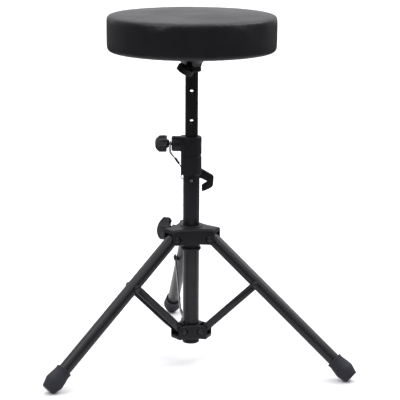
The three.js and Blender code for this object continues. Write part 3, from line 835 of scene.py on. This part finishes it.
# ---- lock pin ----
def curve_points(start, control, end, steps=8):
    """A quadratic curve's points after its start."""
    a, b, c = Vector(start), Vector(control), Vector(end)
    shares = [(k + 1) / steps for k in range(steps)]
    return [tuple((1 - t) ** 2 * a + 2 * t * (1 - t) * b + t * t * c) for t in shares]


def make_lock_pin():
    """The pin along Y through the column, with a hook behind that stops short of the raised hub's arm."""
    low, high = 29.0, 38.0
    outline = [(-7, -6), *curve_points((-7, -6), (-8.5, 0), (-7, 6)),
               *curve_points((-7, 6), (-3, 11), (6, 11.5)), (17.9, 11.5), (36.2, 1),
               *curve_points((36.2, 1), (39.3, -1), (39.2, -4.5)), (38.2, -17),
               *curve_points((38.2, -17), (37.6, -20.5), (34, -22.5)),
               *curve_points((34, -22.5), (26, -27), (18.3, -29.3)), (18, -17.5), (28.4, -10.8), (16.5, -5.2)]
    hook = soften(move(slab("hook", outline, -high, -low), UPRIGHT), 1.8, 4, 50)
    hub_profile = [(0, low - 1.6), (5.6, low - 1.6), (6.4, low - 0.8), (6.4, high), (5.4, high + 0.8),
                   (0, high + 1.2)]
    weld(hook, [move(turning("hub", hub_profile, 0.6, 48), ALONG_Y)])
    drill(hook, [rod(PIN_R + 0.1, low - 3, high - 3, ALONG_Y)])
    at = DRILLED @ Matrix.Translation((0, 0, PIN_Z))
    piece(hook, "lock_pin_hook", "lock_pin", "moulded_plastic", ["lock_pin_handle"], at, sharp=30)
    profile = [(0, -20), (1.4, -19.8), (2.5, -18.9), (PIN_R, -17.2), (PIN_R, 22.6), (2.7, 23.0), (2.7, 24.2),
               (PIN_R, 24.6), (PIN_R, 35.5), (0, 35.5)]
    pin = move(lathe("pin", profile, SMALL), ALONG_Y)
    pin = piece(pin, "lock_pin_rod", "lock_pin", "zinc_steel", ["lock_pin_shank", "lock_pin_nose"], at)
    pin.data.materials[0] = MATERIALS["dark_pin_steel"]


make_lock_pin()


# ---- hubs ----
def turned(x, y, degrees):
    return Matrix.Rotation(math.radians(degrees), 2) @ Vector((x, y))


def spider_outline(arm_half, reach, side, steps=18):
    """Three arms with straight ends, joined by sides that curve inwards."""
    points = []
    for azimuth in LEGS.values():
        start, end = turned(reach, -arm_half, azimuth), turned(reach, arm_half, azimuth)
        following, middle = turned(reach, -arm_half, azimuth + 120), turned(side, 0, azimuth + 60)
        control = 2 * middle - (end + following) / 2
        points += [tuple(start), tuple(end), *curve_points(end, control, following, steps)[:-1]]
    return points


def in_arms(make):
    """One copy of a shape in each of the three arms."""
    return [move(make(), spun(azimuth)) for azimuth in LEGS.values()]


def arm_slot(profile, half):
    return move(slab("slot", profile, -half, half), UPRIGHT)


def rivet_seats(x, z, seat):
    """Each arm's rivet hole, and a flat at both its ends for the rivet's heads."""
    place = Matrix.Translation((x, 0, z)) @ ALONG_Y
    return [*in_arms(lambda: rod(RIVET_HOLE, -seat - 20, seat + 20, place)),
            *in_arms(lambda: rod(RIVET_HEAD_SEAT, seat, seat + 40, place)),
            *in_arms(lambda: rod(RIVET_HEAD_SEAT, -seat - 40, -seat, place))]


def domed_spider(name, shape, low, high, foot, crown):
    """A spider whose lower edge has a small round and whose upper edge a large one."""
    quarter = [math.radians(a) for a in range(0, 91, 15)]
    levels = [(foot - foot * math.sin(q), low + foot - foot * math.cos(q)) for q in quarter]
    levels += [(crown - crown * math.cos(q), high - crown + crown * math.sin(q)) for q in quarter]
    bm = bmesh.new()
    rows = []
    for inset, z in levels:
        outline = spider_outline(shape["arm_half"] - inset, shape["reach"] - inset, shape["side"] - inset)
        rows.append([bm.verts.new((x, y, z)) for x, y in outline])
    for lower, upper in zip(rows, rows[1:]):
        for k in range(len(lower)):
            bm.faces.new((lower[k], lower[k - 1], upper[k - 1], upper[k]))
    bm.faces.new(rows[0])
    bm.faces.new(rows[-1])
    return from_bmesh(name, bm)


def make_leg_hub():
    """The sliding spider: three slotted arms on a sleeve, a rim, and its wing screw's boss."""
    low, high, px, pz = 219.0, 248.5, LEG_PIVOT_R, LEG_PIVOT_Z
    body = domed_spider("hub", HUB, low, high - 1.8, 1.2, 5.0)
    sleeve = lathe("sleeve", [(0, 209.8), (14.9, 209.8), (15.6, 210.6), (15.6, 224), (0, 224)], FINE)
    rim = turning("rim", [(0, 240), (19.6, 240), (19.6, high - 1.0), (18.6, high), (0, high)], 0.5)
    weld(body, [sleeve, rim, screw_boss(HUB_SCREW)])
    crest = [(px + 5, pz + 13.4), (px, pz + 14.3), (px - 7, pz + 12.6), (px - 12, pz + 8)]
    slot = [(25.6, low - 1), (70, low - 1), (70, pz + 10.6), (px + 9.6, pz + 10.6), *crest, (25.6, pz + 2)]
    corner = [(42, low - 1), (58, low - 1), (58, low + 12)]
    drill(body, in_arms(lambda: arm_slot(slot, 11.6)) + in_arms(lambda: arm_slot(corner, 16.5)))
    drill(body, [rod(14.6, 200, 260, sides=FINE), *screw_cuts(HUB_SCREW)])
    drill(body, rivet_seats(px, pz, HUB["arm_half"]))
    soften(body, 0.4, 2, 50)
    piece(body, "leg_hub_moulded", "sliding_hub", "moulded_plastic", ["leg_hub"], sharp=30)


def make_lower_hub():
    """The fixed spider at the column's foot, whose slots open upwards for the braces."""
    low, high = 45.0, 69.0
    slot_inner, slot_outer, slot_floor = 17.2, 44.0, 51.6
    body = soften(slab("hub", spider_outline(**LOWER_HUB), low, high), 2.5, 4, 40)
    slot = [(slot_inner, slot_floor), (slot_outer, slot_floor), (slot_outer, high + 1),
            (slot_inner, high + 1)]
    drill(body, in_arms(lambda: arm_slot(slot, 10.6)))
    drill(body, [rod(TUBE_R + GAP, low - 1, high + 1, sides=FINE)])
    drill(body, rivet_seats(BRACE_FOOT_R, BRACE_FOOT_Z, LOWER_HUB["arm_half"]))
    soften(body, 0.5, 2, 45)
    piece(body, "lower_hub_moulded", "column", "moulded_plastic", ["lower_hub"], sharp=30)


def rivet(half):
    """A tube rivet with a domed head at each end, lying along Y."""
    side = [(3.1, half + 0.3), (5.2, half + 0.3), (5.2, half + 0.8), (4.6, half + 1.5), (3.2, half + 2.0)]
    profile = [(0, -half - 2.0)] + [(r, -y) for r, y in reversed(side)] + side + [(0, half + 2.0)]
    shape = lathe("rivet", profile, SMALL)
    dimples = [lathe("dimple", [(0, end * (half + 1.0)), (1.4, end * (half + 1.2)), (2.2, end * (half + 3)),
                                (0, end * (half + 3))], 24) for end in (1, -1)]
    return move(drill(shape, dimples), ALONG_Y)


make_leg_hub()
make_lower_hub()


# ---- legs and braces ----
LEG_FRAME = (Matrix.Translation((LEG_PIVOT_R, 0, LEG_PIVOT_Z))
             @ Matrix.Rotation(math.radians(LEG_SLOPE), 4, "Y"))
brace_top = LEG_FRAME @ Vector((BRACE_PIVOT, 0, 0))
brace_run = Vector((brace_top.x - BRACE_FOOT_R, brace_top.z - BRACE_FOOT_Z))
BRACE_LENGTH = brace_run.length
BRACE_FRAME = (Matrix.Translation((BRACE_FOOT_R, 0, BRACE_FOOT_Z))
               @ Matrix.Rotation(-math.atan2(brace_run.y, brace_run.x), 4, "Y"))


def pivot_holes(*places):
    return [rod(RIVET_HOLE, -20, 20, Matrix.Translation((x, 0, 0)) @ ALONG_Y) for x in places]


def make_leg_tube(place, name):
    profile = pipe_profile(LEG_R, LEG_IN, -LEG_BEHIND, LEG_LENGTH - 6)
    tube = move(ring("leg", profile, 0.5), ALONG_X)
    drill(tube, pivot_holes(0, BRACE_PIVOT))
    piece(tube, f"leg_{name}_tube", f"leg_{name}", "powder_coat", [f"leg_tube_{name}"], place @ LEG_FRAME)


def make_boot(place, name):
    """The rubber foot: a lipped mouth, a swollen belly, and a flat where it meets the floor."""
    tip, inner = LEG_LENGTH, LEG_R + GAP
    outer = [(12.6, tip - 43), (13.9, tip - 42.7), (14.4, tip - 41.6), (14.4, tip - 39.6), (13.8, tip - 38.6),
             (14.3, tip - 34), (15.4, tip - 27), (16.2, tip - 21), (16.6, tip - 17.4), (16.5, tip - 15.6),
             (15.2, tip - 11.0), (13.6, tip - 5.6), (12.1, tip - 0.8), (11.4, tip)]
    profile = [(0, tip - 5.7), (inner, tip - 5.7), (inner, tip - 42.4), *outer, (0, tip)]
    boot = move(lathe("boot", fillet(profile, 0.5, steps=2), FINE), ALONG_X)
    move(boot, LEG_FRAME)
    drill(boot, [slab("floor", [(-500, -500), (500, -500), (500, 500), (-500, 500)], -60, 0)])
    piece(boot, f"foot_{name}_boot", f"leg_{name}", "rubber", [f"foot_boot_{name}"], place, sharp=40)


def make_brace_bar(place, name, letter, side):
    """A flat bar with round ends, joggled outwards past the lower hub."""
    low, high, thick, half = 8.0, 12.0, 2.0, 6.3
    line = [(-half - 1, low), (14, low), (17, low + 0.25), (20.5, low + 1.3), (25.5, high - 1.3),
            (29, high - 0.25), (32, high), (BRACE_LENGTH + half + 1, high)]
    section = [(x, side * y) for x, y in line] + [(x, side * (y + thick)) for x, y in reversed(line)]
    bar = slab("bar", section, -half, half)
    ends = [(x0 + half * math.cos(math.radians(a)), half * math.sin(math.radians(a)))
            for x0, start in ((0, 90), (BRACE_LENGTH, -90)) for a in range(start, start + 181, 9)]
    combine(bar, [arm_slot(ends, 30)], "INTERSECT")
    drill(bar, pivot_holes(0, BRACE_LENGTH))
    soften(bar, 0.4, 2, 35)
    piece(bar, f"brace_{name}_bar_{letter}", f"brace_{name}", "powder_coat", [f"brace_bar_{name}_{letter}"],
          place @ BRACE_FRAME, sharp=40)


def make_brace_head(place, name, letter, side):
    """One domed head of the brace's rivet, lying on the bar's outer face."""
    seat, shank_start = 14.3, 12.2
    profile = [(0, shank_start), (3.1, shank_start), (3.1, seat), (5.2, seat), (5.2, seat + 0.5),
               (4.7, seat + 1.2), (3.3, seat + 1.9), (2.0, seat + 2.0), (1.3, seat + 1.3), (0, seat + 1.2)]
    head = move(lathe("head", profile, SMALL), ALONG_Y)
    flip = Matrix.Identity(4) if side > 0 else Matrix.Rotation(math.pi, 4, "Z")
    piece(head, f"brace_{name}_rivet_{letter}", f"brace_{name}", "black_rivet",
          [f"brace_head_{name}_{letter}"],
          place @ BRACE_FRAME @ Matrix.Translation((BRACE_LENGTH, 0, 0)) @ flip)


for leg_name, leg_azimuth in LEGS.items():
    turn = spun(leg_azimuth)
    make_leg_tube(turn, leg_name)
    make_boot(turn, leg_name)
    for side_letter, side_sign in (("a", 1), ("b", -1)):
        make_brace_bar(turn, leg_name, side_letter, side_sign)
        make_brace_head(turn, leg_name, side_letter, side_sign)
    piece(rivet(HUB["arm_half"]), f"hub_{leg_name}_rivet", "sliding_hub", "black_rivet",
          [f"hub_rivet_{leg_name}"], turn @ Matrix.Translation((LEG_PIVOT_R, 0, LEG_PIVOT_Z)))
    piece(rivet(LOWER_HUB["arm_half"]), f"lower_{leg_name}_rivet", "column", "black_rivet",
          [f"lower_rivet_{leg_name}"], turn @ Matrix.Translation((BRACE_FOOT_R, 0, BRACE_FOOT_Z)))


# ---- materials of the CAD nodes that stay ----
KEPT_NODES = {"seat_board": "plywood", "post_plug": "moulded_plastic",
              "seat_insert": "brass", "height_insert": "brass", "hub_insert": "brass",
              **{f"brace_pin_{leg_name}": "zinc_steel" for leg_name in LEGS}}
for node_name, slot_name in KEPT_NODES.items():
    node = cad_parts[node_name]
    for material_slot in node.material_slots:
        material_slot.material = MATERIALS[slot_name]


# ---- floor and light ----
def make_stage():
    """A wide floor, white where seen. The light it sends back to the object fades outwards."""
    floor = lathe("studio_floor", [(0, 0), (0.3, 0), (14.0, 0)], 96)
    nodes = Nodes("studio_white")
    reach = nodes.add("ShaderNodeVectorMath", operation="LENGTH")
    nodes.link(nodes.place, reach.inputs[0])
    bounce = nodes.ramp(reach.outputs["Value"], 0.75, 0.07, 0.5, 1.2)
    shade = nodes.add("ShaderNodeMix")
    nodes.link(nodes.add("ShaderNodeLightPath").outputs["Is Camera Ray"], shade.inputs["Factor"])
    nodes.link(bounce, shade.inputs["A"])
    shade.inputs["B"].default_value = 0.93
    nodes.link(shade.outputs["Result"], nodes.shader.inputs["Base Color"])
    nodes.shader.inputs["Roughness"].default_value = 1.0
    nodes.shader.inputs["Specular IOR Level"].default_value = 0.0
    floor.data.materials.append(nodes.material)


def make_sky(front, back, zenith):
    """Soft studio light: dim in front, bright behind and overhead, and plain white where seen."""
    world = bpy.data.worlds.new("studio")
    world.use_nodes = True
    tree = world.node_tree
    add = tree.nodes.new
    split = add("ShaderNodeSeparateXYZ")
    tree.links.new(add("ShaderNodeTexCoord").outputs["Generated"], split.inputs[0])
    parts = []
    fades = {"Y": (0.1, 0.95, front, back), "Z": (0.25, 0.95, 0.0, zenith)}
    for axis, (start, end, low, high) in fades.items():
        ramp = add("ShaderNodeMapRange")
        ramp.interpolation_type = "SMOOTHSTEP"
        for name, value in zip(("From Min", "From Max", "To Min", "To Max"), (start, end, low, high)):
            ramp.inputs[name].default_value = value
        tree.links.new(split.outputs[axis], ramp.inputs["Value"])
        parts.append(ramp.outputs["Result"])
    total = add("ShaderNodeMath")
    total.operation = "ADD"
    tree.links.new(parts[0], total.inputs[0])
    tree.links.new(parts[1], total.inputs[1])
    seen = add("ShaderNodeMix")
    seen.inputs["B"].default_value = 1.05
    tree.links.new(add("ShaderNodeLightPath").outputs["Is Camera Ray"], seen.inputs["Factor"])
    tree.links.new(total.outputs["Value"], seen.inputs["A"])
    tree.links.new(seen.outputs["Result"], tree.nodes["Background"].inputs["Strength"])
    tree.nodes["Background"].inputs["Color"].default_value = (0.985, 0.972, 1.0, 1)
    bpy.context.scene.world = world


def area_light(name, place, target, size, power):
    data = bpy.data.lights.new(name, "AREA")
    data.shape, data.size, data.size_y = "RECTANGLE", *size
    data.energy = power
    light = bpy.data.objects.new(name, data)
    light.location = place
    light.rotation_euler = (Vector(target) - Vector(place)).to_track_quat("-Z", "Y").to_euler()
    bpy.context.collection.objects.link(light)


def make_lights():
    make_sky(front=0.15, back=0.85, zenith=1.9)
    area_light("left_softbox", (-1.6, -0.9, 1.9), (0, -0.07, 0.3), (0.25, 1.2), 9)
    area_light("right_softbox", (1.5, 0.2, 1.8), (0, -0.07, 0.3), (0.25, 1.2), 14)


bpy.context.scene.view_settings.view_transform = "Standard"
make_stage()
make_lights()
